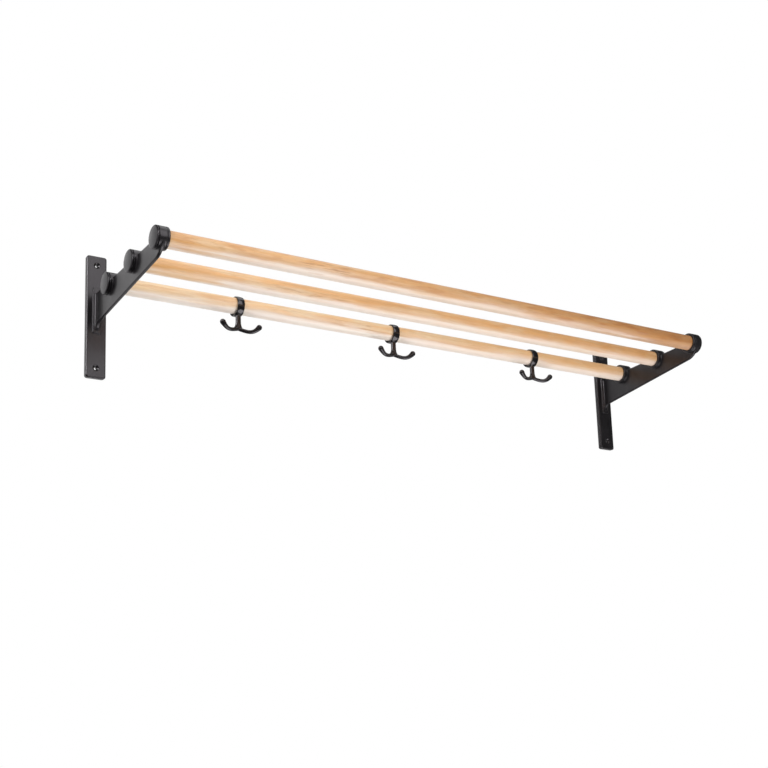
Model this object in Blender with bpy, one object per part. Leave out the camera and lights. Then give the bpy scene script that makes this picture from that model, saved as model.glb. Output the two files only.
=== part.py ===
"""Wall-mounted hat shelf: three wooden rods between two cast brackets, with double hooks on the rear rod.

Lengths are in metres. X runs along the rods, +Y points at the wall and +Z is up. The origin lies on the wall
plane, midway between the brackets, at the middle height of their wall strips.
"""

import math

import bmesh
import bpy
from mathutils import Matrix, Vector
from mathutils.geometry import interpolate_bezier

# Whole shelf
LENGTH = 1.000  # from the outer faces of the left caps to those of the right caps
FIT_GAP = 0.0003  # air between two pieces that seat on or fit into each other
ROUND_SIDES = 28  # facets of every large turned piece
SCREW_SIDES = 16  # facets of screws and screw holes
CORNER_STEPS = 3  # facets of a rounded corner
EDGE_STEPS = 2  # facets of a rounded edge

# Rods, counted from the wall
ROD_NAMES = ("rear", "middle", "front")
ROD_DIAMETER = 0.025
ROD_CHAMFER = 0.0008
REAR_ROD_DEPTH = 0.060  # wall to the rear rod's axis
REAR_ROD_HEIGHT = 0.0326  # rear rod's axis above the middle of the wall strip
ROD_PITCH = 0.087  # from one rod's axis forward to the next
ROD_RISE = 0.00315  # each rod lies this much above the one behind it

# Wall strip of a bracket
STRIP_WIDTH = 0.0308
STRIP_HEIGHT = 0.188
STRIP_THICKNESS = 0.0075
STRIP_CORNER = 0.0035
STRIP_EDGE = 0.0014  # chamfer along the front edges
SCREW_HOLE_SPACING = 0.158
SCREW_HOLE_DIAMETER = 0.0041
SCREW_HOLE_MOUTH = 0.0095  # width of the countersink at the strip's face

# Raised pad that the web grows from
PAD_WIDTH = 0.0125
PAD_TOP = 0.0435  # above the middle of the wall strip
PAD_BOTTOM = -0.0268
PAD_STAND = 0.0022  # proud of the strip's face
PAD_CORNER = 0.002
PAD_EDGE = 0.0009
PAD_SINK = 0.004  # how far the pad and the web run back into the strip

# Web that carries the sockets
WEB_THICKNESS = 0.005
WEB_EDGE = 0.0011
WEB_ABOVE_AXES = 0.004  # top edge above the line through the socket axes
WEB_FOOT_HEIGHT = -0.0125  # where the lower edge would meet the pad, from the strip's middle
WEB_UNDER_NOSE = 0.0087  # lower edge below the front socket
NOSE_FULLNESS = 0.0135  # how much larger than the socket's radius the round of the nose is
FOOT_RADIUS = 0.015  # fillet under the web, where it meets the pad
FOOT_STEPS = 6
NOSE_STEPS = 8
ROOT_RADIUS = 0.003  # fillets on both sides of the web, where it meets the pad
ROOT_STEPS = 4
NOSE_OVERLAP = 0.0004  # how far the round of the nose runs into the front socket

# Sockets for the rod ends
SOCKET_WALL = 0.0037
SOCKET_INNER_REACH = 0.007  # mouth of the socket, from the web's inner face
SOCKET_OUTER_REACH = 0.0042  # boss under the cap, from the web's outer face
SOCKET_FLOOR = 0.004
SOCKET_EDGE = 0.0009
GROOVE_DEPTH = 0.0007
GROOVE_WIDTH = 0.0014
GROOVE_FROM_MOUTH = 0.0042

# Caps over the rod screws
CAP_THICKNESS = 0.0035
CAP_EDGE = 0.0024  # how far the rounded rim runs down the side
CAP_RIM = 0.0032  # how far it runs in over the face
CAP_EDGE_STEPS = 3
CAP_SEAM = 0.0006  # chamfer of the cap's edge at the boss
CAP_SPIGOT_DIAMETER = 0.0205
CAP_SPIGOT_WALL = 0.002
CAP_SPIGOT_LENGTH = 0.0022
CAP_RECESS_DEPTH = 0.0034

# Screws that pull the brackets onto the rod ends
ROD_SCREW_DIAMETER = 0.004
ROD_SCREW_LENGTH = 0.030
ROD_SCREW_HEAD_DIAMETER = 0.0076
ROD_SCREW_HEAD_HEIGHT = 0.0021
ROD_SCREW_POINT = 0.004

# Double hooks that slide on the rear rod, each with its place along the rod
HOOK_PLACES = {"left_hook": -0.286, "middle_hook": -0.0065, "right_hook": 0.278}
EYE_WIDTH = 0.0118
EYE_WALL = 0.0021
EYE_EDGE = 0.0010
EYE_PLAY = 0.0010  # the eye hangs on the rod, with its middle this much below the rod's axis
STEM_WIDTH = 0.007
STEM_DEPTH = 0.0062
STEM_LENGTH = 0.0198  # from the eye's underside to the middle of the arms
STEM_FORWARD = 0.0031  # the stem stands this much in front of the rod's axis
STEM_FLARE = 0.014  # widening of the stem where the arms leave it
STEM_FLARE_POWER = 6  # the higher, the nearer to the arms the widening starts
STEM_SHARES = (0, 0.5, 0.7, 0.82, 0.92, 1)  # heights of the stem's rings, from the eye to the arms
ARM_DIAMETER = 0.0053
ARM_TIP_DIAMETER = 0.0085
ARM_TIP_POWER = 4  # the higher, the nearer to the tips the arms swell
ARM_SPAN = 0.0610  # between the middles of the two tips
ARM_FORWARD = 0.0095  # tips in front of the stem
ARM_LIFT = 0.0036  # tips above the middle of the arms
ARM_ROOT_PULL = (0.55, 0.42, 0.0056)  # first handle of an arm's curve: shares of half span and forward, drop
ARM_TIP_PULL = (0.72, 0.79, 0.0062)  # second handle, in the same terms
ARM_SIDES = 10
ARM_STEPS = 9
TIP_ANGLES = (math.radians(40), math.radians(72))  # rings of a tip's dome

SHADE_ANGLE = math.radians(32)
CLEAR_CUT = 0.002  # how far a cutter stands out of what it cuts

# Sizes that follow from those above
ROD_RADIUS = ROD_DIAMETER / 2
BORE_RADIUS = ROD_RADIUS + FIT_GAP
SOCKET_RADIUS = BORE_RADIUS + SOCKET_WALL
MOUTH_X = -(WEB_THICKNESS / 2 + SOCKET_INNER_REACH)  # from the web's middle plane, outward positive
BOSS_X = WEB_THICKNESS / 2 + SOCKET_OUTER_REACH
RECESS_X = BOSS_X - CAP_RECESS_DEPTH
FLOOR_X = RECESS_X - SOCKET_FLOOR
CAP_X = BOSS_X + FIT_GAP
BRACKET_X = LENGTH / 2 - CAP_X - CAP_THICKNESS  # the shelf's middle to a web's middle plane
ROD_END_X = BRACKET_X + FLOOR_X - FIT_GAP
SCREW_SEAT_X = RECESS_X + FIT_GAP
SCREW_BORE_RADIUS = ROD_SCREW_DIAMETER / 2 + FIT_GAP
PILOT_DEPTH = ROD_SCREW_LENGTH - (SCREW_SEAT_X - FLOOR_X) + 2 * FIT_GAP
PAD_FACE = STRIP_THICKNESS + PAD_STAND  # the pad's face in front of the wall
EYE_BORE_RADIUS = (ROD_RADIUS + FIT_GAP + EYE_PLAY) / math.cos(math.pi / ROUND_SIDES)
EYE_RADIUS = EYE_BORE_RADIUS + EYE_WALL


def clear_scene():
    for old in list(bpy.data.objects):
        bpy.data.objects.remove(old)


def make_material(name, colour, roughness, metallic):
    material = bpy.data.materials.new(name)
    material.use_nodes = True
    shader = material.node_tree.nodes["Principled BSDF"]
    shader.inputs["Base Color"].default_value = (*colour, 1.0)
    shader.inputs["Roughness"].default_value = roughness
    shader.inputs["Metallic"].default_value = metallic
    return material


def rod_axis(number):
    """(y, z) of a rod's axis, counted from the wall."""
    return -(REAR_ROD_DEPTH + number * ROD_PITCH), REAR_ROD_HEIGHT + number * ROD_RISE


def arc(centre, radius, start, end, steps):
    """Points on an arc in a plane, with both ends."""
    angles = [start + (end - start) * step / steps for step in range(steps + 1)]
    return [(centre[0] + radius * math.cos(a), centre[1] + radius * math.sin(a)) for a in angles]


def rounded_rectangle(width, height, corner):
    """Outline about the origin, with round corners."""
    points = []
    for quarter, (right, up) in enumerate(((1, 1), (-1, 1), (-1, -1), (1, -1))):
        centre = (right * (width / 2 - corner), up * (height / 2 - corner))
        points += arc(centre, corner, quarter * math.pi / 2, (quarter + 1) * math.pi / 2, CORNER_STEPS)
    return points


def prism(points, push):
    """A solid made by pushing a flat outline along a vector."""
    solid = bmesh.new()
    face = solid.faces.new([solid.verts.new(point) for point in points])
    grown = bmesh.ops.extrude_face_region(solid, geom=[face])["geom"]
    moved = [item for item in grown if isinstance(item, bmesh.types.BMVert)]
    bmesh.ops.translate(solid, verts=moved, vec=push)
    bmesh.ops.recalc_face_normals(solid, faces=solid.faces)
    return solid


def round_edges(solid, edges, width, steps=EDGE_STEPS):
    """Rounds edges, or chamfers them in one step."""
    bmesh.ops.bevel(
        solid, geom=edges, offset=width, segments=steps, profile=0.5, affect="EDGES", clamp_overlap=True
    )


def turned(profile, sides=ROUND_SIDES, closed=False, start=0.0):
    """A solid turned about the X axis from (x, radius) points, the first facet edge at the start angle.

    A closed profile makes a ring.
    """
    solid = bmesh.new()
    across, upward = math.sin(start), math.cos(start)
    verts = [solid.verts.new((x, radius * across, radius * upward)) for x, radius in profile]
    pairs = list(zip(verts, verts[1:]))
    if closed:
        pairs.append((verts[-1], verts[0]))
    edges = [solid.edges.new(pair) for pair in pairs]
    bmesh.ops.spin(
        solid, geom=verts + edges, cent=(0, 0, 0), axis=(1, 0, 0), angle=2 * math.pi, steps=sides, use_merge=True
    )
    bmesh.ops.remove_doubles(solid, verts=solid.verts, dist=1e-6)
    bmesh.ops.recalc_face_normals(solid, faces=solid.faces)
    return solid


def lofted(loops):
    """A solid skinned over loops of equally many points, with flat ends."""
    solid = bmesh.new()
    rings = [[solid.verts.new(point) for point in loop] for loop in loops]
    for first, second in zip(rings, rings[1:]):
        for index in range(len(first)):
            after = (index + 1) % len(first)
            solid.faces.new((first[index], first[after], second[after], second[index]))
    solid.faces.new(list(reversed(rings[0])))
    solid.faces.new(rings[-1])
    bmesh.ops.recalc_face_normals(solid, faces=solid.faces)
    return solid


def to_mesh(solid, name):
    mesh = bpy.data.meshes.new(name)
    solid.to_mesh(mesh)
    solid.free()
    return mesh


def combined(name, base, tools):
    """A mesh of the base solid after each (operation, solid) in turn."""
    scene = bpy.context.scene
    body = bpy.data.objects.new(name, to_mesh(base, name))
    scene.collection.objects.link(body)
    helpers = []
    for operation, solid in tools:
        helper = bpy.data.objects.new(name + "_tool", to_mesh(solid, name + "_tool"))
        helper.hide_render = True
        helper.display_type = "WIRE"
        scene.collection.objects.link(helper)
        helpers.append(helper)
        boolean = body.modifiers.new(operation.lower(), "BOOLEAN")
        boolean.operation = operation
        boolean.solver = "EXACT"
        boolean.object = helper
    bpy.context.view_layer.update()
    graph = bpy.context.evaluated_depsgraph_get()
    mesh = bpy.data.meshes.new_from_object(body.evaluated_get(graph))
    mesh.name = name
    for used in (body, *helpers):
        bpy.data.objects.remove(used)
    return mesh


def place(name, mesh, material, location=(0, 0, 0), turn=0.0):
    """Puts a mesh into the scene as a named piece, turned about the vertical."""
    mesh.materials.clear()
    mesh.materials.append(material)
    mesh.shade_smooth()
    mesh.set_sharp_from_angle(angle=SHADE_ANGLE)
    piece = bpy.data.objects.new(name, mesh)
    piece.location = location
    piece.rotation_euler = (0, 0, turn)
    bpy.context.scene.collection.objects.link(piece)
    return piece


def wall_strip():
    outline = rounded_rectangle(STRIP_WIDTH, STRIP_HEIGHT, STRIP_CORNER)
    solid = prism([(x, 0, z) for x, z in outline], (0, -STRIP_THICKNESS, 0))
    front = [e for e in solid.edges if all(v.co.y < -STRIP_THICKNESS / 2 for v in e.verts)]
    round_edges(solid, front, STRIP_EDGE, steps=1)
    return solid


def web_pad():
    """Pad on the strip's face, sunk into the strip."""
    middle = (PAD_TOP + PAD_BOTTOM) / 2
    back = STRIP_THICKNESS - PAD_SINK
    outline = rounded_rectangle(PAD_WIDTH, PAD_TOP - PAD_BOTTOM, PAD_CORNER)
    solid = prism([(x, -back, middle + z) for x, z in outline], (0, back - PAD_FACE, 0))
    front = [e for e in solid.edges if all(v.co.y < -STRIP_THICKNESS for v in e.verts)]
    round_edges(solid, front, PAD_EDGE)
    return solid


def web_outline():
    """(distance from the wall, height) points round the web, with its foot fillet and round nose."""
    rear_y, rear_z = rod_axis(0)
    nose_y, nose_z = rod_axis(len(ROD_NAMES) - 1)
    back = STRIP_THICKNESS - PAD_SINK
    axes_slope = (nose_z - rear_z) / (rear_y - nose_y)
    root_top = rear_z + WEB_ABOVE_AXES - axes_slope * (-rear_y - back)

    along, rise = -nose_y - PAD_FACE, nose_z - WEB_FOOT_HEIGHT
    clear = SOCKET_RADIUS + WEB_UNDER_NOSE
    slope = math.atan2(rise, along) - math.asin(clear / math.hypot(along, rise))

    foot = (
        PAD_FACE + FOOT_RADIUS,
        WEB_FOOT_HEIGHT + FOOT_RADIUS * (math.tan(slope) - 1 / math.cos(slope)),
    )
    points = [(back, foot[1])]
    points += arc(foot, FOOT_RADIUS, math.pi, math.pi / 2 + slope, FOOT_STEPS)

    nose_radius = SOCKET_RADIUS + NOSE_FULLNESS
    reach = NOSE_FULLNESS + NOSE_OVERLAP
    up = nose_radius - clear
    behind = math.sqrt(reach**2 - up**2)
    nose = (
        -nose_y - behind * math.cos(slope) - up * math.sin(slope),
        nose_z - behind * math.sin(slope) + up * math.cos(slope),
    )
    points += arc(nose, nose_radius, slope - math.pi / 2, slope - math.atan2(up, behind), NOSE_STEPS)
    points += [(-nose_y, nose_z + WEB_ABOVE_AXES), (back, root_top)]
    return points


def web():
    half = WEB_THICKNESS / 2
    solid = prism([(-half, -depth, z) for depth, z in web_outline()], (WEB_THICKNESS, 0, 0))
    faces = [e for e in solid.edges if abs(e.verts[0].co.x - e.verts[1].co.x) < half]
    round_edges(solid, faces, WEB_EDGE)
    return solid


def root_fillets():
    """Fillets beside the web at the pad, which grow as the foot below them runs out and end at the web's top."""
    half = WEB_THICKNESS / 2
    back = (PAD_FACE + STRIP_THICKNESS) / 2
    heights = [z for depth, z in web_outline() if depth < PAD_FACE]
    radii = [ROOT_RADIUS * step / ROOT_STEPS for step in range(1, ROOT_STEPS + 1)]
    levels = [(min(heights) + math.sqrt(radius * (2 * FOOT_RADIUS - radius)), radius) for radius in radii]
    levels.append((max(heights) - WEB_EDGE, ROOT_RADIUS))
    loops = []
    for z, radius in levels:
        outer = (half + radius, PAD_FACE + radius)
        side = [(outer[0], back), *arc(outer, radius, -math.pi / 2, -math.pi, ROOT_STEPS)]
        outline = side + [(-x, depth) for x, depth in reversed(side)]
        loops.append([(x, -depth, z) for x, depth in outline])
    return lofted(loops)


def socket(number):
    """Drum round a rod end: a grooved sleeve inside the web and a boss for the cap outside it."""
    y, z = rod_axis(number)
    groove = MOUTH_X + GROOVE_FROM_MOUTH
    profile = [
        (MOUTH_X, 0),
        (MOUTH_X, SOCKET_RADIUS - SOCKET_EDGE),
        (MOUTH_X + SOCKET_EDGE, SOCKET_RADIUS),
        (groove - GROOVE_WIDTH / 2, SOCKET_RADIUS),
        (groove, SOCKET_RADIUS - GROOVE_DEPTH),
        (groove + GROOVE_WIDTH / 2, SOCKET_RADIUS),
        (BOSS_X - SOCKET_EDGE, SOCKET_RADIUS),
        (BOSS_X, SOCKET_RADIUS - SOCKET_EDGE),
        (BOSS_X, 0),
    ]
    solid = turned(profile)
    bmesh.ops.translate(solid, verts=solid.verts, vec=(0, y, z))
    return solid


def socket_bore(number):
    """Room for the rod end, the screw through the floor and the cap's spigot."""
    y, z = rod_axis(number)
    recess_radius = CAP_SPIGOT_DIAMETER / 2 + FIT_GAP
    profile = [
        (MOUTH_X - CLEAR_CUT, 0),
        (MOUTH_X - CLEAR_CUT, BORE_RADIUS),
        (FLOOR_X, BORE_RADIUS),
        (FLOOR_X, SCREW_BORE_RADIUS),
        (RECESS_X, SCREW_BORE_RADIUS),
        (RECESS_X, recess_radius),
        (BOSS_X + CLEAR_CUT, recess_radius),
        (BOSS_X + CLEAR_CUT, 0),
    ]
    solid = turned(profile, start=math.pi / ROUND_SIDES)
    bmesh.ops.translate(solid, verts=solid.verts, vec=(0, y, z))
    return solid


def wall_screw_hole(height):
    """Countersunk hole through the strip, drawn along X and turned to run along Y."""
    radius = SCREW_HOLE_DIAMETER / 2
    mouth = SCREW_HOLE_MOUTH / 2
    profile = [
        (-CLEAR_CUT, 0),
        (-CLEAR_CUT, radius),
        (STRIP_THICKNESS - (mouth - radius), radius),
        (STRIP_THICKNESS + CLEAR_CUT, mouth + CLEAR_CUT),
        (STRIP_THICKNESS + CLEAR_CUT, 0),
    ]
    solid = turned(profile, sides=SCREW_SIDES)
    place_at = Matrix.Translation((0, 0, height)) @ Matrix.Rotation(-math.pi / 2, 4, "Z")
    bmesh.ops.transform(solid, matrix=place_at, verts=solid.verts)
    return solid


def bracket_mesh():
    """A bracket about its web's middle plane, with +X pointing away from the rods."""
    numbers = range(len(ROD_NAMES))
    tools = [("UNION", web_pad()), ("UNION", web()), ("UNION", root_fillets())]
    tools += [("UNION", socket(number)) for number in numbers]
    tools += [("DIFFERENCE", socket_bore(number)) for number in numbers]
    tools += [("DIFFERENCE", wall_screw_hole(side * SCREW_HOLE_SPACING / 2)) for side in (-1, 1)]
    return combined("bracket", wall_strip(), tools)


def mirrored(mesh, name):
    """A copy of a mesh, mirrored left to right."""
    solid = bmesh.new()
    solid.from_mesh(mesh)
    bmesh.ops.scale(solid, vec=(-1, 1, 1), verts=solid.verts)
    bmesh.ops.reverse_faces(solid, faces=solid.faces)
    return to_mesh(solid, name)


def rod_mesh():
    """A dowel with chamfered ends and a pilot hole in each."""
    half = [
        (ROD_END_X - PILOT_DEPTH, 0),
        (ROD_END_X - PILOT_DEPTH, SCREW_BORE_RADIUS),
        (ROD_END_X, SCREW_BORE_RADIUS),
        (ROD_END_X, ROD_RADIUS - ROD_CHAMFER),
        (ROD_END_X - ROD_CHAMFER, ROD_RADIUS),
    ]
    profile = [(-x, radius) for x, radius in half] + list(reversed(half))
    return to_mesh(turned(profile), "rod")


def cap_mesh():
    """A flat cap with a round rim and a hollow spigot, facing +X."""
    spigot = CAP_SPIGOT_DIAMETER / 2
    hollow = spigot - CAP_SPIGOT_WALL
    quarter = arc((0, 0), 1, 0, math.pi / 2, CAP_EDGE_STEPS)
    edge = [
        (CAP_THICKNESS - CAP_EDGE * (1 - along), SOCKET_RADIUS - CAP_RIM * (1 - out))
        for along, out in quarter
    ]
    profile = [
        (CAP_THICKNESS, 0),
        *edge,
        (CAP_SEAM, SOCKET_RADIUS),
        (0, SOCKET_RADIUS - CAP_SEAM),
        (0, spigot),
        (-CAP_SPIGOT_LENGTH, spigot),
        (-CAP_SPIGOT_LENGTH, hollow),
        (0, hollow),
        (0, 0),
    ]
    return to_mesh(turned(profile), "cap")


def rod_screw_mesh():
    """A pan-head wood screw with its seat at the origin and its head towards +X."""
    head = ROD_SCREW_HEAD_DIAMETER / 2
    shank = ROD_SCREW_DIAMETER / 2
    profile = [
        (ROD_SCREW_HEAD_HEIGHT, 0),
        (ROD_SCREW_HEAD_HEIGHT, head / 2),
        (ROD_SCREW_HEAD_HEIGHT / 2, head),
        (0, head),
        (0, shank),
        (ROD_SCREW_POINT - ROD_SCREW_LENGTH, shank),
        (-ROD_SCREW_LENGTH, 0),
    ]
    return to_mesh(turned(profile, sides=SCREW_SIDES), "rod_screw")


def hook_eye():
    """Ring that runs on the rod with some play."""
    half = EYE_WIDTH / 2
    outer = arc((half - EYE_EDGE, EYE_RADIUS - EYE_EDGE), EYE_EDGE, 0, math.pi / 2, EDGE_STEPS)
    right = [(half, EYE_BORE_RADIUS), *outer]
    return turned(right + [(-x, radius) for x, radius in reversed(right)], closed=True)


def hook_stem(bottom):
    """Stem from inside the eye's wall down into the arms, widening along X as it meets them."""
    top = -(EYE_BORE_RADIUS + EYE_WALL / 2)
    end = bottom - ARM_DIAMETER / 4
    loops = []
    for share in STEM_SHARES:
        spread = share**STEM_FLARE_POWER
        width = (STEM_WIDTH + STEM_FLARE * spread) / 2
        depth = (STEM_DEPTH + (ARM_DIAMETER - STEM_DEPTH) * spread) / 2
        height = top + (end - top) * share
        turn = [2 * math.pi * side / ARM_SIDES for side in range(ARM_SIDES)]
        loops.append([(width * math.cos(a), -STEM_FORWARD + depth * math.sin(a), height) for a in turn])
    return lofted(loops)


def arm_path(bottom):
    """Points along both arms from the left tip to the right one."""
    root = Vector((0, -STEM_FORWARD, bottom))
    tip = root + Vector((ARM_SPAN / 2, -ARM_FORWARD, ARM_LIFT))
    handles = [
        root + Vector((ARM_SPAN / 2 * across, -ARM_FORWARD * forward, -drop))
        for across, forward, drop in (ARM_ROOT_PULL, ARM_TIP_PULL)
    ]
    right = interpolate_bezier(root, *handles, tip, ARM_STEPS)
    left = [Vector((-point.x, point.y, point.z)) for point in right]
    return list(reversed(left))[:-1] + right


def hook_arms(bottom):
    """Round arms that swell towards rounded tips."""
    path = arm_path(bottom)
    last = len(path) - 1
    stations = []
    for index, point in enumerate(path):
        along = (path[min(index + 1, last)] - path[max(index - 1, 0)]).normalized()
        out = abs(2 * index / last - 1)
        radius = (ARM_DIAMETER + (ARM_TIP_DIAMETER - ARM_DIAMETER) * out**ARM_TIP_POWER) / 2
        stations.append((point, along, radius))

    tip_radius = ARM_TIP_DIAMETER / 2
    for angle in TIP_ANGLES:
        for end, outward, where in ((stations[-1], 1, len(stations)), (stations[0], -1, 0)):
            base = path[-1] if outward > 0 else path[0]
            point = base + end[1] * outward * tip_radius * math.sin(angle)
            stations.insert(where, (point, end[1], tip_radius * math.cos(angle)))

    loops = []
    for point, along, radius in stations:
        across = (Vector((0, 1, 0)) - along * along.y).normalized()
        upward = along.cross(across)
        turn = [2 * math.pi * side / ARM_SIDES for side in range(ARM_SIDES)]
        loops.append([point + radius * (math.cos(a) * across + math.sin(a) * upward) for a in turn])
    return lofted(loops)


def hook_mesh():
    """A double hook about the middle of its eye."""
    bottom = -(EYE_RADIUS + STEM_LENGTH)
    return combined("hook", hook_eye(), [("UNION", hook_stem(bottom)), ("UNION", hook_arms(bottom))])


def build():
    clear_scene()
    black = make_material("black_lacquer", (0.016, 0.016, 0.017), 0.42, 0.0)
    birch = make_material("birch", (0.80, 0.56, 0.32), 0.50, 0.0)
    zinc = make_material("zinc_plate", (0.60, 0.60, 0.58), 0.35, 1.0)

    right_bracket = bracket_mesh()
    place("right_bracket", right_bracket, black, (BRACKET_X, 0, 0))
    place("left_bracket", mirrored(right_bracket, "left_bracket"), black, (-BRACKET_X, 0, 0))

    rod, cap, screw = rod_mesh(), cap_mesh(), rod_screw_mesh()
    for number, rod_name in enumerate(ROD_NAMES):
        y, z = rod_axis(number)
        place(f"{rod_name}_rod", rod, birch, (0, y, z))
        for side_name, side in (("left", -1), ("right", 1)):
            turn = 0.0 if side > 0 else math.pi
            place(f"{side_name}_{rod_name}_cap", cap, black, (side * (BRACKET_X + CAP_X), y, z), turn)
            seat = (side * (BRACKET_X + SCREW_SEAT_X), y, z)
            place(f"{side_name}_{rod_name}_rod_screw", screw, zinc, seat, turn)

    hook = hook_mesh()
    y, z = rod_axis(0)
    for name, x in HOOK_PLACES.items():
        place(name, hook, black, (x, y, z - EYE_PLAY))


build()
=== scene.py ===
"""Looks of the wall-mounted hat shelf: finer castings, turned rods and caps, materials, light and camera.

Lengths are in metres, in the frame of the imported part: X along the rods, +Y into the wall, +Z up.
"""

import math

import bmesh
import bpy
from mathutils import Matrix, Vector
from mathutils.geometry import interpolate_bezier

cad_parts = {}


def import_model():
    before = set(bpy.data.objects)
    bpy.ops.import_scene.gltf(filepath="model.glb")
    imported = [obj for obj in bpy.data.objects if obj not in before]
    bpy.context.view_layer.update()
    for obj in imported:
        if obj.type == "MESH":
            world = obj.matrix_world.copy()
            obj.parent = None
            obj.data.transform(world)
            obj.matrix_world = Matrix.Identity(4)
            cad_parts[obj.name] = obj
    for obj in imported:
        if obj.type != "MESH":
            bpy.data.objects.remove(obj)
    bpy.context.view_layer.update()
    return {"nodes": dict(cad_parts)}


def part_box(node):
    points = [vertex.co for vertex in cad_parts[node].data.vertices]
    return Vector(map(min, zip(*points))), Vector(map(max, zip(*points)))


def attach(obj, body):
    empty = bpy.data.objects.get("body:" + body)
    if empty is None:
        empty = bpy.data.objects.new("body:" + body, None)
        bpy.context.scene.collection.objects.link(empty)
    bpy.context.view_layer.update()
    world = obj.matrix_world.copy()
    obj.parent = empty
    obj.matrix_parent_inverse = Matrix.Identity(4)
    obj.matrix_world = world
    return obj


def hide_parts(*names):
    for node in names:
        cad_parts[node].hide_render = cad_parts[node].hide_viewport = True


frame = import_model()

RODS = ("rear", "middle", "front")
SIDES = {"left": -1, "right": 1}
HOOKS = {
    "left_hook": "left_double_hook",
    "middle_hook": "middle_double_hook",
    "right_hook": "right_double_hook",
}

# Fineness of the meshes
ROUND_SIDES = 96
EDGE_STEPS = 6
SHARP_ANGLE = 30
MERGE_DISTANCE = 1e-6
CAST_VOXEL = 0.0004
CAST_SOFTENING = 2
CAST_FACES_KEPT = 0.25
HOOK_VOXEL = 0.00035
HOOK_SOFTENING = 6
HOOK_FACES_KEPT = 0.4

# Rods and what is turned round them
ROD_RADIUS = 0.0125
ROD_CHAMFER = 0.0008
PILOT_RADIUS = 0.0023
PILOT_DEPTH = 0.0263
SOCKET_RADIUS = 0.0165
SOCKET_EDGE = 0.0009
SOCKET_LINER = 0.0143  # inner radius of the round shell laid over a faceted socket
SOCKET_MOUTH = 0.0095  # from the web's middle plane towards the rods
SOCKET_BOSS = 0.0067  # from the web's middle plane outward
GROOVE_DEPTH = 0.0007
GROOVE_WIDTH = 0.0014
GROOVE_FROM_MOUTH = 0.0042
BRACKET_PLANE = 0.4895  # the shelf's middle to a web's middle plane

# Caps
CAP_THICKNESS = 0.0035
CAP_EDGE = 0.0024
CAP_RIM = 0.0032
CAP_SEAM = 0.0006
CAP_DOME = 0.0007  # how far the face falls away from its middle to its rim
DOME_STEPS = 8
CAP_SPIGOT_RADIUS = 0.01025
CAP_SPIGOT_WALL = 0.002
CAP_SPIGOT_LENGTH = 0.0022

# Double hooks, about the middle of the eye
EYE_WIDTH = 0.0118
EYE_WALL = 0.0021
EYE_EDGE = 0.0010
EYE_PLAY = 0.0010  # the eye hangs on the rod, with its middle this much below the rod's axis
EYE_CROWN = 0.0005  # how far the ring falls away from its middle to its edges
STEM_WIDTH = 0.0086
STEM_DEPTH = 0.0072
STEM_LENGTH = 0.0198
STEM_FORWARD = 0.0031
STEM_FLARE = 0.014
STEM_FLARE_POWER = 6
STEM_RINGS = 18
ARM_DIAMETER = 0.0060
ARM_TIP_DIAMETER = 0.0090
ARM_TIP_POWER = 4
ARM_SPAN = 0.0610
ARM_FORWARD = 0.0095
ARM_LIFT = 0.0036
ARM_ROOT_PULL = (0.55, 0.42, 0.0056)
ARM_TIP_PULL = (0.72, 0.79, 0.0062)
ARM_SIDES = 28
ARM_STEPS = 24
TIP_RINGS = 6

# Camera at the photo's viewing angle
CAMERA_PLACE = (-1.21203, -1.87907, -0.71388)
CAMERA_YAW = -0.571457
CAMERA_PITCH = 0.220771
CAMERA_ROLL = -0.033153
CAMERA_LENS = 66.3208
CAMERA_SHIFT = (0.007267, 0.136568)

# Lacquer: least and most roughness, and the share of the clear top layer
SATIN = {"smooth": 0.31, "dull": 0.38, "clear": 0.15}
GLOSS = {"smooth": 0.12, "dull": 0.18, "clear": 0.3}
DARK_PAINT = (0.0075, 0.0069, 0.0077)
PALE_PAINT = (0.0115, 0.0106, 0.0117)
WORN_PAINT = (0.050, 0.047, 0.048)
LACQUER_TINT = (1.0, 0.93, 1.0, 1.0)
CLEAR_ROUGHNESS = 0.1
PAINT_CLOUDS = 45  # noise scales per metre
PAINT_SKIN = 420
PAINT_GRIT = 1300
WEAR_CLOUDS = 260
GRIT_DULLS = 0.03
WORN_EDGE = (0.53, 0.60)  # how pointed an edge is where its wear begins, and where it is full

# Zinc on the screws
DARK_ZINC = (0.52, 0.52, 0.50)
PALE_ZINC = (0.68, 0.68, 0.66)
ZINC_SHEEN = (0.28, 0.42)
ZINC_CLOUDS = 900

# Wood: warm above and paler below, a painted highlight as if lit from beneath, and browner towards the right
# ends, painted shade where less light falls
WARM_WOOD = (0.87, 0.485, 0.19)
PAINTED_SHADE_WOOD = (0.46, 0.20, 0.06)
# painted light: paler colours for the rods' undersides, as if lit from below
PAINTED_LIGHT_WOOD = (0.88, 0.79, 0.71)
PAINTED_LIGHT_AND_SHADE_WOOD = (0.62, 0.43, 0.30)
# painted shade: the rods turn darker and browner towards their right ends, where less light falls
PAINTED_SHADE_RIGHT = {"rear": (0.0, 0.34), "middle": (0.06, 0.46), "front": (0.22, 1.02)}
PAINTED_SHADE_FROM = -0.25
PAINTED_SHADE_TO = 0.45
STRAW_TINT = (1.01, 1.44, 2.4)
STRAW_SHARE = {"rear": (0.30, 0.75), "middle": (0.05, 0.55), "front": (0.0, 0.40)}
STRAW_AT_LEFT = {"rear": 0.45, "middle": 0.0, "front": 0.0}
LINE_COLOUR = (0.62, 0.30, 0.10)
FIBRE_COLOUR = (0.52, 0.28, 0.12)
FLECK_COLOUR = (0.44, 0.185, 0.06)
ORANGE_TINT = (0.84, 0.72, 0.58)
ORANGE_SHARE = {"rear": 0.2, "middle": 0.4, "front": 0.9}
BLUSH_WOOD = (0.84, 0.68, 0.60)
BLUSH_SHARE = 0.45
KNOTTY_ROD = "front"
KNOTTY_MIDDLE = -0.232
KNOTTY_HALF = 0.06
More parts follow.
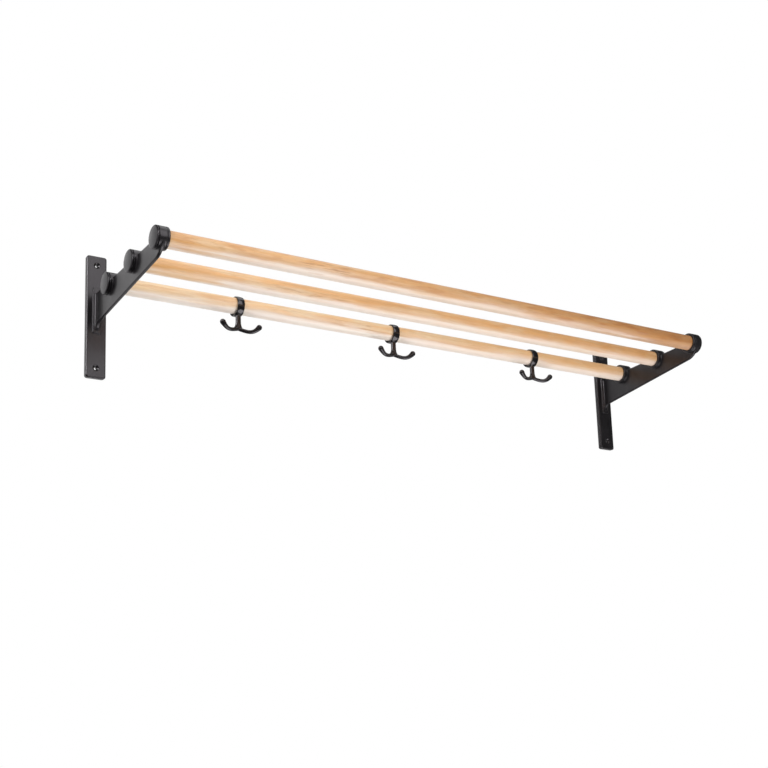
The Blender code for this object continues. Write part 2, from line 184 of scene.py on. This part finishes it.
PAINTED_LIGHT_BELOW = -1.0  # shares of the rod's radius, from its axis, from the underside painted pale as if lit to the warm top
WARM_ABOVE = 0.1
BORDER_BELOW = -0.72  # a quicker change inside the slow one
BORDER_ABOVE = -0.50
BORDER_SHARE = 0.35
BORDER_WANDER = 0.0035
PAINTED_SHADE_LOWERS = {"rear": 0.0075, "middle": 0.004, "front": 0.0075}  # how far the warm side reaches down, growing with the painted shade towards the right
BORDER_LOWERED = {"rear": (0.001, -0.003), "middle": (0.005, -0.0005), "front": (0.0025, -0.003)}
LEFT_END_FROM = -0.45
LEFT_END_TO = -0.28

# The wood's noises: scales along the rod and across it, and the levels between which an effect grows
SLOW_SCALE = (9, 110, 110)
CLOUD_SCALE = (16, 90, 90)
STREAK_SCALE = (22, 130, 130)
LINE_SCALE = (5, 520, 120)
FIBRE_SCALE = (50, 1300, 1300)
SPECK_SCALE = (28, 330, 330)
PATCH_SCALE = (5, 30, 30)
STRAW_LEVELS = (0.48, 0.64)
ORANGE_LEVELS = (0.48, 0.60)
BLUSH_LEVELS = (0.42, 0.60)
LINE_LEVELS = (0.48, 0.72)
FIBRE_LEVELS = (0.50, 0.72)
KNOTTY_LEVELS = (0.56, 0.70)
FLECK_LEVELS = (0.54, 0.66)
LINE_SHARE = 0.6
FIBRE_SHARE = 0.45
FLECK_SHARE = 0.85
PALE_GRAIN = 0.15  # how much of the grain shows on the underside painted pale as if lit from below
GRAIN_SHIFT = (0.37, 0.11, 0.23)  # from one rod to the next, so that no two look the same
FIRST_TURN = 0.6
GRAIN_TURN = 0.9
WOOD_SHEEN = (0.40, 0.52)
WOOD_COAT = 0.7
WOOD_COAT_ROUGHNESS = 0.35

# Studio
FLOOR_HEIGHT = -1.5
FLOOR_SIZE = 60.0
FLOOR_COLOUR = (0.86, 0.86, 0.85)
FLOOR_GLOW = 0.5  # what the camera sees on top of the lit floor, so that it looks pale
FAR_FLOOR_GLOW = 0.66  # the same far away, where the floor melts into the white ground
FLOOR_NEAR = 3.0
FLOOR_FAR = 14.0
FLOOR_SHADE = 0.98
FLOOR_CLOUDS = 2.0
AMBIENT = 0.40
MIRROR_DARK = 0.06  # what reflections see behind the camera
MIRROR_BESIDE = 0.5
MIRROR_BEHIND = 1.0
BESIDE_SPAN = (0.82, 0.96)  # shares of a direction that go sideways or back, where the mirrored light grows
BEHIND_SPAN = (0.58, 0.86)

# Lamps: place, target, width and height, watts
LAMPS = {
    "low_softbox": ((0.45, -0.6, -1.1), (0.3, -0.45, 0), (1.3, 1.0), 12.5),
    "left_softbox": ((-2.2, -1.0, 0.95), (-0.3, -0.1, 0), (1.9, 0.9), 14),
    "strip_light": ((-2.15, -0.7, 0.8), (-0.4, -0.1, 0), (0.22, 1.0), 12),
    "front_softbox": ((0.15, -1.8, 0.9), (-0.3, 0, 0), (1.1, 1.9), 16),
    "top_softbox": ((0.1, -0.2, 1.7), (0, -0.1, 0), (1.8, 1.2), 9),
    "back_softbox": ((0.2, 1.6, 0.9), (0, -0.1, 0), (2.0, 1.2), 8),
}


def arc(centre, radius, start, end, steps):
    """Points on an arc in a plane, with both ends."""
    angles = [start + (end - start) * step / steps for step in range(steps + 1)]
    return [(centre[0] + radius * math.cos(a), centre[1] + radius * math.sin(a)) for a in angles]


def turned(profile, closed=False):
    """A bmesh turned about the X axis from (x, radius) points. A closed profile makes a ring."""
    solid = bmesh.new()
    verts = [solid.verts.new((x, 0, radius)) for x, radius in profile]
    pairs = list(zip(verts, verts[1:]))
    if closed:
        pairs.append((verts[-1], verts[0]))
    edges = [solid.edges.new(pair) for pair in pairs]
    bmesh.ops.spin(
        solid, geom=verts + edges, axis=(1, 0, 0), angle=2 * math.pi, steps=ROUND_SIDES, use_merge=True
    )
    bmesh.ops.remove_doubles(solid, verts=solid.verts, dist=MERGE_DISTANCE)
    bmesh.ops.recalc_face_normals(solid, faces=solid.faces)
    return solid


def lofted(loops):
    """A bmesh skinned over loops of equally many points, with flat ends."""
    solid = bmesh.new()
    rings = [[solid.verts.new(point) for point in loop] for loop in loops]
    for first, second in zip(rings, rings[1:]):
        for index in range(len(first)):
            after = (index + 1) % len(first)
            solid.faces.new((first[index], first[after], second[after], second[index]))
    solid.faces.new(list(reversed(rings[0])))
    solid.faces.new(rings[-1])
    bmesh.ops.recalc_face_normals(solid, faces=solid.faces)
    return solid


def to_mesh(solid, name):
    mesh = bpy.data.meshes.new(name)
    solid.to_mesh(mesh)
    solid.free()
    return mesh


def joined(name, meshes):
    """One mesh that holds the faces of several."""
    whole = bmesh.new()
    for mesh in meshes:
        whole.from_mesh(mesh)
    bmesh.ops.remove_doubles(whole, verts=whole.verts, dist=MERGE_DISTANCE)
    return to_mesh(whole, name)


def cast(name, mesh, voxel, softening, kept):
    """The mesh as one casting: its solids flow together, and its edges and inner corners are rounded."""
    rough = bpy.data.objects.new(name, mesh)
    bpy.context.scene.collection.objects.link(rough)
    skin = rough.modifiers.new("skin", "REMESH")
    skin.mode = "VOXEL"
    skin.voxel_size = voxel
    soft = rough.modifiers.new("soft", "SMOOTH")
    soft.factor = 0.5
    soft.iterations = softening
    light = rough.modifiers.new("light", "DECIMATE")
    light.ratio = kept
    bpy.context.view_layer.update()
    graph = bpy.context.evaluated_depsgraph_get()
    made = bpy.data.meshes.new_from_object(rough.evaluated_get(graph))
    made.name = name
    bpy.data.objects.remove(rough)
    return made


def piece(name, mesh, material, node, body, sharp=None):
    """Puts a mesh into the scene in place of a CAD node."""
    mesh.materials.clear()
    mesh.materials.append(material)
    mesh.shade_smooth()
    if sharp:
        mesh.set_sharp_from_angle(angle=math.radians(sharp))
    made = bpy.data.objects.new(name, mesh)
    bpy.context.scene.collection.objects.link(made)
    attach(made, body)
    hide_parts(node)
    return made


def moved(mesh, name, matrix):
    """A copy of a mesh, carried to its place, with its faces turned back if the move mirrors it."""
    copy = mesh.copy()
    copy.name = name
    copy.transform(matrix)
    if matrix.is_negative:
        copy.flip_normals()
    return copy


def rod_axis(rod):
    """(y, z) of a rod's axis."""
    low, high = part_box(f"{rod}_rod")
    return (low.y + high.y) / 2, (low.z + high.z) / 2


# Pieces


def socket_shell(rod):
    """A truly round shell over the faceted drum of a socket on the right bracket."""
    mouth = BRACKET_PLANE - SOCKET_MOUTH
    boss = BRACKET_PLANE + SOCKET_BOSS
    groove = mouth + GROOVE_FROM_MOUTH
    profile = [
        (mouth, SOCKET_LINER),
        (mouth, SOCKET_RADIUS - SOCKET_EDGE),
        (mouth + SOCKET_EDGE, SOCKET_RADIUS),
        (groove - GROOVE_WIDTH / 2, SOCKET_RADIUS),
        (groove, SOCKET_RADIUS - GROOVE_DEPTH),
        (groove + GROOVE_WIDTH / 2, SOCKET_RADIUS),
        (boss - SOCKET_EDGE, SOCKET_RADIUS),
        (boss, SOCKET_RADIUS - SOCKET_EDGE),
        (boss, SOCKET_LINER),
    ]
    solid = turned(profile, closed=True)
    y, z = rod_axis(rod)
    bmesh.ops.translate(solid, verts=solid.verts, vec=(0, y, z))
    return to_mesh(solid, f"{rod}_socket_shell")


def brackets(material):
    """The right bracket as a soft-edged casting, and the left one as its mirror image."""
    solids = [frame["nodes"]["right_bracket"].data, *(socket_shell(rod) for rod in RODS)]
    rough = joined("right_bracket_rough", solids)
    right = cast("right_bracket_casting", rough, CAST_VOXEL, CAST_SOFTENING, CAST_FACES_KEPT)
    left = moved(right, "left_bracket_casting", Matrix.Scale(-1, 4, (1, 0, 0)))
    piece("right_bracket_casting", right, material, "right_bracket", "shelf")
    piece("left_bracket_casting", left, material, "left_bracket", "shelf")


def rod_mesh(rod):
    """A dowel with chamfered ends and a pilot hole in each."""
    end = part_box(f"{rod}_rod")[1].x
    half = [
        (end - PILOT_DEPTH, 0),
        (end - PILOT_DEPTH, PILOT_RADIUS),
        (end, PILOT_RADIUS),
        (end, ROD_RADIUS - ROD_CHAMFER),
        (end - ROD_CHAMFER, ROD_RADIUS),
    ]
    solid = turned([(-x, radius) for x, radius in half] + list(reversed(half)))
    y, z = rod_axis(rod)
    bmesh.ops.translate(solid, verts=solid.verts, vec=(0, y, z))
    return to_mesh(solid, f"{rod}_dowel")


def rods(materials):
    for rod, material in zip(RODS, materials):
        piece(f"{rod}_dowel", rod_mesh(rod), material, f"{rod}_rod", "shelf", sharp=SHARP_ANGLE)


def cap_mesh():
    """A slightly domed cap with a round rim and a hollow spigot, facing +X, its seat at the origin."""
    hollow = CAP_SPIGOT_RADIUS - CAP_SPIGOT_WALL
    flat = SOCKET_RADIUS - CAP_RIM
    shares = [step / DOME_STEPS for step in range(DOME_STEPS)]
    dome = [(CAP_THICKNESS - CAP_DOME * share**2, flat * share) for share in shares]
    quarter = arc((0, 0), 1, 0, math.pi / 2, 2 * EDGE_STEPS)
    rim = [
        (CAP_THICKNESS - CAP_DOME - (CAP_EDGE - CAP_DOME) * (1 - along), SOCKET_RADIUS - CAP_RIM * (1 - out))
        for along, out in quarter
    ]
    profile = [
        *dome,
        *rim,
        (CAP_SEAM, SOCKET_RADIUS),
        (0, SOCKET_RADIUS - CAP_SEAM),
        (0, CAP_SPIGOT_RADIUS),
        (-CAP_SPIGOT_LENGTH, CAP_SPIGOT_RADIUS),
        (-CAP_SPIGOT_LENGTH, hollow),
        (0, hollow),
        (0, 0),
    ]
    return to_mesh(turned(profile), "cap")


def caps(material):
    plain = cap_mesh()
    for side, sign in SIDES.items():
        for rod in RODS:
            node = f"{side}_{rod}_cap"
            low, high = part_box(node)
            face = high.x if sign > 0 else low.x
            y, z = rod_axis(rod)
            seat = Matrix.Translation((face - sign * CAP_THICKNESS, y, z))
            turn = Matrix.Rotation(0 if sign > 0 else math.pi, 4, "Z")
            mesh = moved(plain, f"{node}_turned", seat @ turn)
            piece(f"{node}_turned", mesh, material, node, "shelf", sharp=SHARP_ANGLE)


def hook_eye(bore, outer):
    """Ring that runs on the rod with some play, with a crowned outside."""
    half = EYE_WIDTH / 2
    flat = half - EYE_EDGE
    edge = arc((flat, outer - EYE_CROWN - EYE_EDGE), EYE_EDGE, 0, math.pi / 2, EDGE_STEPS)
    shares = [step / EDGE_STEPS for step in range(EDGE_STEPS - 1, 0, -1)]
    crown = [(flat * share, outer - EYE_CROWN * share**2) for share in shares]
    right = [(half, bore), *edge, *crown]
    left = [(-x, radius) for x, radius in reversed(right)]
    return turned([*right, (0, outer), *left], closed=True)


def circle_angles():
    return [2 * math.pi * side / ARM_SIDES for side in range(ARM_SIDES)]


def hook_stem(bore, bottom):
    """Stem from inside the eye's wall down into the arms, widening along X as it meets them."""
    top = -(bore + EYE_WALL / 2)
    end = bottom - ARM_DIAMETER / 4
    loops = []
    for ring in range(STEM_RINGS + 1):
        share = ring / STEM_RINGS
        spread = share**STEM_FLARE_POWER
        width = (STEM_WIDTH + STEM_FLARE * spread) / 2
        depth = (STEM_DEPTH + (ARM_DIAMETER - STEM_DEPTH) * spread) / 2
        height = top + (end - top) * share
        loops.append(
            [(width * math.cos(a), -STEM_FORWARD + depth * math.sin(a), height) for a in circle_angles()]
        )
    return lofted(loops)


def arm_path(bottom):
    """Points along both arms from the left tip to the right one."""
    root = Vector((0, -STEM_FORWARD, bottom))
    tip = root + Vector((ARM_SPAN / 2, -ARM_FORWARD, ARM_LIFT))
    handles = [
        root + Vector((ARM_SPAN / 2 * across, -ARM_FORWARD * forward, -drop))
        for across, forward, drop in (ARM_ROOT_PULL, ARM_TIP_PULL)
    ]
    right = interpolate_bezier(root, *handles, tip, ARM_STEPS)
    left = [Vector((-point.x, point.y, point.z)) for point in right]
    return list(reversed(left))[:-1] + right


def tip_rings(point, along):
    """(middle, direction, radius) of the rings of a tip's dome, from its base outward."""
    radius = ARM_TIP_DIAMETER / 2
    angles = [math.pi / 2 * ring / (TIP_RINGS + 1) for ring in range(1, TIP_RINGS + 1)]
    return [(point + along * radius * math.sin(a), along, radius * math.cos(a)) for a in angles]


def hook_arms(bottom):
    """Round arms that swell towards rounded tips."""
    path = arm_path(bottom)
    last = len(path) - 1
    stations = []
    for index, point in enumerate(path):
        along = (path[min(index + 1, last)] - path[max(index - 1, 0)]).normalized()
        out = abs(2 * index / last - 1)
        radius = (ARM_DIAMETER + (ARM_TIP_DIAMETER - ARM_DIAMETER) * out**ARM_TIP_POWER) / 2
        stations.append((point, along, radius))
    right_dome = tip_rings(path[-1], stations[-1][1])
    left_dome = [(middle, -along, radius) for middle, along, radius in tip_rings(path[0], -stations[0][1])]
    stations = list(reversed(left_dome)) + stations + right_dome

    loops = []
    for point, along, radius in stations:
        across = (Vector((0, 1, 0)) - along * along.y).normalized()
        upward = along.cross(across)
        loops.append(
            [point + radius * (math.cos(a) * across + math.sin(a) * upward) for a in circle_angles()]
        )
    return lofted(loops)


def hooks(material):
    """The double hooks, each one casting of eye, stem and arms."""
    y, z = rod_axis("rear")
    z -= EYE_PLAY
    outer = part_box("middle_hook")[1].z - z
    bore = outer - EYE_WALL
    bottom = -(outer + STEM_LENGTH)
    solids = [
        to_mesh(hook_eye(bore, outer), "eye"),
        to_mesh(hook_stem(bore, bottom), "stem"),
        to_mesh(hook_arms(bottom), "arms"),
    ]
    plain = cast("hook", joined("hook_rough", solids), HOOK_VOXEL, HOOK_SOFTENING, HOOK_FACES_KEPT)
    for node, body in HOOKS.items():
        low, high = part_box(node)
        mesh = moved(plain, f"{node}_casting", Matrix.Translation(((low.x + high.x) / 2, y, z)))
        piece(f"{node}_casting", mesh, material, node, body)


# Materials


def new_material(name):
    """A fresh node material, with its tree and its shader."""
    material = bpy.data.materials.new(name)
    material.use_nodes = True
    return material, material.node_tree, material.node_tree.nodes["Principled BSDF"]


def add(tree, kind, inputs=None, **settings):
    """A shader node with its settings and inputs; an input is a value or a socket to link."""
    made = tree.nodes.new("ShaderNode" + kind)
    for name, value in settings.items():
        setattr(made, name, value)
    for name, value in (inputs or {}).items():
        if isinstance(value, bpy.types.NodeSocket):
            tree.links.new(value, made.inputs[name])
        else:
            made.inputs[name].default_value = value
    return made


def stretched(tree, scale, place=(0, 0, 0), turn=(0, 0, 0)):
    """The object's own coordinates, scaled, moved and turned."""
    coords = add(tree, "TexCoord").outputs["Object"]
    return add(
        tree, "Mapping", {"Vector": coords, "Scale": scale, "Location": place, "Rotation": turn}
    ).outputs[0]


def spot(tree):
    """The object's own coordinates, one by one."""
    return add(tree, "SeparateXYZ", {0: add(tree, "TexCoord").outputs["Object"]}).outputs


def noise(tree, vector, scale, detail=2.0, roughness=0.5):
    inputs = {"Vector": vector, "Scale": scale, "Detail": detail, "Roughness": roughness}
    return add(tree, "TexNoise", inputs).outputs["Fac"]


def spread(tree, value, low, high, to_low=0.0, to_high=1.0):
    """A value taken from one range to another, and held inside it."""
    inputs = {"Value": value, "From Min": low, "From Max": high, "To Min": to_low, "To Max": to_high}
    return add(tree, "MapRange", inputs).outputs[0]


def times(tree, first, second):
    return add(tree, "Math", {0: first, 1: second}, operation="MULTIPLY").outputs[0]


def plus(tree, first, second):
    return add(tree, "Math", {0: first, 1: second}, operation="ADD").outputs[0]


def mixed(tree, factor, first, second, blend="MIX"):
    """A colour between two others, or the first tinted by the second."""
    made = add(tree, "Mix", {0: factor}, data_type="RGBA", blend_type=blend)
    for socket, colour in ((6, first), (7, second)):
        if isinstance(colour, bpy.types.NodeSocket):
            tree.links.new(colour, made.inputs[socket])
        else:
            made.inputs[socket].default_value = (*colour, 1.0)
    return made.outputs[2]


def bump(tree, height, strength, distance, below=None):
    inputs = {"Height": height, "Strength": strength, "Distance": distance}
    if below:
        inputs["Normal"] = below
    return add(tree, "Bump", inputs).outputs[0]


def lacquer_material(name, smooth, dull, clear):
    """Black lacquer on a casting: fine texture, uneven sheen, a clear top layer and faintly worn edges."""
    material, tree, shader = new_material(name)
    place = stretched(tree, (1, 1, 1))
    broad = noise(tree, place, PAINT_CLOUDS, 3)
    grit = noise(tree, place, PAINT_GRIT, 2, 0.6)
    skin = noise(tree, place, PAINT_SKIN, 2)

    edge = spread(tree, add(tree, "NewGeometry").outputs["Pointiness"], *WORN_EDGE)
    worn = times(tree, edge, spread(tree, noise(tree, place, WEAR_CLOUDS, 3), 0.45, 0.7))

    paint = mixed(tree, spread(tree, broad, 0.35, 0.65), DARK_PAINT, PALE_PAINT)
    tree.links.new(mixed(tree, worn, paint, WORN_PAINT), shader.inputs["Base Color"])
    sheen = spread(tree, broad, 0.3, 0.7, smooth, dull)
    dulled = plus(tree, sheen, spread(tree, grit, 0.3, 0.7, -GRIT_DULLS, GRIT_DULLS))
    tree.links.new(dulled, shader.inputs["Roughness"])
    fine = bump(tree, grit, 0.10, 0.0002)
    tree.links.new(bump(tree, skin, 0.05, 0.0006, fine), shader.inputs["Normal"])
    shader.inputs["Specular Tint"].default_value = LACQUER_TINT
    shader.inputs["Coat Weight"].default_value = clear
    shader.inputs["Coat Roughness"].default_value = CLEAR_ROUGHNESS
    return material


def wood_tints(tree, rod, wander):
    """A rod's slow colours: a warm top, an underside painted paler as if lit from below, and painted shade
    that darkens and browns it to the right: (above, below, share of the first).
    """
    z = rod_axis(rod)[1]
    place = spot(tree)
    # painted shade: darker and browner towards the right end
    painted_shade = spread(tree, place["X"], PAINTED_SHADE_FROM, PAINTED_SHADE_TO, *PAINTED_SHADE_RIGHT[rod])
    along = spread(tree, place["X"], LEFT_END_FROM, LEFT_END_TO, *BORDER_LOWERED[rod])
    lowered = plus(tree, times(tree, painted_shade, PAINTED_SHADE_LOWERS[rod]), along)
    wandering = spread(tree, wander, 0.3, 0.7, -BORDER_WANDER, BORDER_WANDER)
    bend = plus(tree, plus(tree, place["Z"], lowered), wandering)
    # painted light: below this span the colour turns to the pale underside colours, as if lit from beneath
    slow_span = (z + PAINTED_LIGHT_BELOW * ROD_RADIUS, z + WARM_ABOVE * ROD_RADIUS)
    quick_span = (z + BORDER_BELOW * ROD_RADIUS, z + BORDER_ABOVE * ROD_RADIUS)
    slow = spread(tree, bend, *slow_span, 0, 1 - BORDER_SHARE)
    quick = spread(tree, bend, *quick_span, 0, BORDER_SHARE)
    warm = plus(tree, slow, quick)
    above = mixed(tree, painted_shade, WARM_WOOD, PAINTED_SHADE_WOOD)
    below = mixed(tree, painted_shade, PAINTED_LIGHT_WOOD, PAINTED_LIGHT_AND_SHADE_WOOD)
    return above, below, warm


def knotty_stretch(tree):
    """1 in the middle of the stretch with more flecks, falling to 0 at its ends."""
    away = plus(tree, spot(tree)["X"], -KNOTTY_MIDDLE)
    far = add(tree, "Math", {0: away}, operation="ABSOLUTE").outputs[0]
    return spread(tree, far, 0.5 * KNOTTY_HALF, KNOTTY_HALF, 1.0, 0.0)


def birch_material(rod, number):
    """Clear-lacquered birch: growth lines along the rod, fine fibres, slow tints and small flecks, with an
    underside painted paler as light from below and painted shade towards the right ends.
    """
    material, tree, shader = new_material(f"birch_{rod}")
    shift = tuple(number * part for part in GRAIN_SHIFT)
    turn = (FIRST_TURN + GRAIN_TURN * number, 0, 0)
    slow = noise(tree, stretched(tree, SLOW_SCALE, shift), 1.0, 4, 0.6)
    clouds = noise(tree, stretched(tree, CLOUD_SCALE, (2 + shift[0], 0, 0)), 1.0, 3)
    lines = noise(tree, stretched(tree, LINE_SCALE, shift, turn), 1.0, 3, 0.6)
    fibres = noise(tree, stretched(tree, FIBRE_SCALE, shift), 1.0, 3, 0.6)
    specks = noise(tree, stretched(tree, SPECK_SCALE, shift), 1.0, 2)
    streaks = noise(tree, stretched(tree, STREAK_SCALE, (4 + shift[0], 0, 0)), 1.0, 3, 0.6)
    patches = noise(tree, stretched(tree, PATCH_SCALE, (1 + shift[0], 0, 0)), 1.0, 1)

    above, below, warm = wood_tints(tree, rod, slow)
    left = spread(tree, spot(tree)["X"], LEFT_END_FROM, LEFT_END_TO, STRAW_AT_LEFT[rod], 0.0)
    pale = plus(tree, left, spread(tree, clouds, *STRAW_LEVELS, *STRAW_SHARE[rod]))
    straw = mixed(tree, pale, above, STRAW_TINT, "MULTIPLY")
    deep = spread(tree, streaks, *ORANGE_LEVELS, 0.0, ORANGE_SHARE[rod])
    streaked = mixed(tree, deep, straw, ORANGE_TINT, "MULTIPLY")
    blush = spread(tree, streaks, *BLUSH_LEVELS, 0.0, BLUSH_SHARE)
    blushed = mixed(tree, blush, below, BLUSH_WOOD)
    tint = mixed(tree, warm, blushed, streaked)

    grain = spread(tree, warm, 0.0, 1.0, PALE_GRAIN, 1.0)
    growth = times(tree, grain, spread(tree, lines, *LINE_LEVELS, 0.0, LINE_SHARE))
    lined = mixed(tree, growth, tint, LINE_COLOUR)
    fine = times(tree, grain, spread(tree, fibres, *FIBRE_LEVELS, 0.0, FIBRE_SHARE))
    fibred = mixed(tree, fine, lined, FIBRE_COLOUR)
    knotty = spread(tree, patches, *KNOTTY_LEVELS)
    if rod == KNOTTY_ROD:
        knotty = plus(tree, knotty, knotty_stretch(tree))
    flecks = spread(tree, specks, *FLECK_LEVELS, 0.0, FLECK_SHARE)
    flecked = times(tree, flecks, times(tree, grain, knotty))
    tree.links.new(mixed(tree, flecked, fibred, FLECK_COLOUR), shader.inputs["Base Color"])
    tree.links.new(spread(tree, fibres, 0.3, 0.7, *WOOD_SHEEN), shader.inputs["Roughness"])
    tree.links.new(bump(tree, fibres, 0.12, 0.0002), shader.inputs["Normal"])
    shader.inputs["Coat Weight"].default_value = WOOD_COAT
    shader.inputs["Coat Roughness"].default_value = WOOD_COAT_ROUGHNESS
    return material


def zinc_material():
    """Zinc plating with a fine cloudy sheen."""
    material, tree, shader = new_material("zinc_plate")
    shader.inputs["Metallic"].default_value = 1.0
    cloud = noise(tree, stretched(tree, (1, 1, 1)), ZINC_CLOUDS, 4)
    tree.links.new(mixed(tree, cloud, DARK_ZINC, PALE_ZINC), shader.inputs["Base Color"])
    tree.links.new(spread(tree, cloud, 0.3, 0.7, *ZINC_SHEEN), shader.inputs["Roughness"])
    tree.links.new(bump(tree, cloud, 0.1, 0.0001), shader.inputs["Normal"])
    return material


# Studio


def floor():
    material, tree, shader = new_material("floor")
    cloud = noise(tree, stretched(tree, (1, 1, 1)), FLOOR_CLOUDS, 2)
    shade = tuple(FLOOR_SHADE * part for part in FLOOR_COLOUR)
    tree.links.new(mixed(tree, cloud, shade, FLOOR_COLOUR), shader.inputs["Base Color"])
    shader.inputs["Roughness"].default_value = 0.9
    shader.inputs["Specular IOR Level"].default_value = 0.0
    shader.inputs["Emission Color"].default_value = (1.0, 1.0, 1.0, 1.0)
    seen = add(tree, "LightPath").outputs["Is Camera Ray"]
    away = add(tree, "VectorMath", {0: stretched(tree, (1, 1, 1))}, operation="LENGTH").outputs["Value"]
    glow = spread(tree, away, FLOOR_NEAR, FLOOR_FAR, FLOOR_GLOW, FAR_FLOOR_GLOW)
    tree.links.new(times(tree, seen, glow), shader.inputs["Emission Strength"])
    half = FLOOR_SIZE / 2
    plate = bmesh.new()
    corners = [(-half, -half), (half, -half), (half, half), (-half, half)]
    plate.faces.new([plate.verts.new((x, y, FLOOR_HEIGHT)) for x, y in corners])
    mesh = to_mesh(plate, "floor")
    mesh.materials.append(material)
    made = bpy.data.objects.new("floor", mesh)
    made.visible_glossy = False
    bpy.context.scene.collection.objects.link(made)


def world():
    """White for the camera. Reflections see white behind the shelf, grey beside it and dark elsewhere."""
    made = bpy.data.worlds.new("studio")
    bpy.context.scene.world = made
    made.use_nodes = True
    tree = made.node_tree
    back = tree.nodes["Background"]
    rays = add(tree, "LightPath").outputs
    way = add(tree, "SeparateXYZ", {0: add(tree, "TexCoord").outputs["Generated"]}).outputs
    behind = spread(tree, way["Y"], *BEHIND_SPAN, MIRROR_DARK, MIRROR_BEHIND)
    across = add(tree, "Math", {0: way["X"]}, operation="ABSOLUTE").outputs[0]
    beside = spread(tree, across, *BESIDE_SPAN, MIRROR_DARK, MIRROR_BESIDE)
    level = add(tree, "Math", {0: behind, 1: beside}, operation="MAXIMUM").outputs[0]
    mirror = add(tree, "CombineColor", {"Red": level, "Green": level, "Blue": level}).outputs[0]
    plain = mixed(tree, rays["Is Glossy Ray"], (AMBIENT,) * 3, mirror)
    seen = add(tree, "Math", {0: rays["Is Camera Ray"], 1: rays["Is Transmission Ray"]}, operation="MAXIMUM")
    tree.links.new(mixed(tree, seen.outputs[0], plain, (1.0, 1.0, 1.0)), back.inputs["Color"])


def softbox(name, place, target, size, power):
    lamp = bpy.data.lights.new(name, "AREA")
    lamp.shape = "RECTANGLE"
    lamp.size = size[0]
    lamp.size_y = size[1]
    lamp.energy = power
    made = bpy.data.objects.new(name, lamp)
    made.location = place
    made.rotation_euler = (Vector(target) - Vector(place)).to_track_quat("-Z", "Y").to_euler()
    made.visible_camera = False
    bpy.context.scene.collection.objects.link(made)


def lights():
    for name, setting in LAMPS.items():
        softbox(name, *setting)


def camera():
    lens = bpy.data.cameras.new("camera")
    lens.sensor_width = 36
    lens.lens = CAMERA_LENS
    lens.shift_x, lens.shift_y = CAMERA_SHIFT
    made = bpy.data.objects.new("camera", lens)
    made.matrix_world = (
        Matrix.Translation(CAMERA_PLACE)
        @ Matrix.Rotation(CAMERA_YAW, 4, "Z")
        @ Matrix.Rotation(math.pi / 2 + CAMERA_PITCH, 4, "X")
        @ Matrix.Rotation(CAMERA_ROLL, 4, "Z")
    )
    bpy.context.scene.collection.objects.link(made)
    bpy.context.scene.camera = made


def build():
    bpy.context.scene.view_settings.view_transform = "Standard"
    satin = lacquer_material("satin_lacquer", **SATIN)
    gloss = lacquer_material("gloss_lacquer", **GLOSS)
    zinc = zinc_material()
    brackets(satin)
    rods([birch_material(rod, number) for number, rod in enumerate(RODS)])
    caps(satin)
    hooks(gloss)
    for side in SIDES:
        for rod in RODS:
            screw = frame["nodes"][f"{side}_{rod}_rod_screw"]
            screw.data.materials.clear()
            screw.data.materials.append(zinc)
    floor()
    world()
    lights()
    camera()


build()
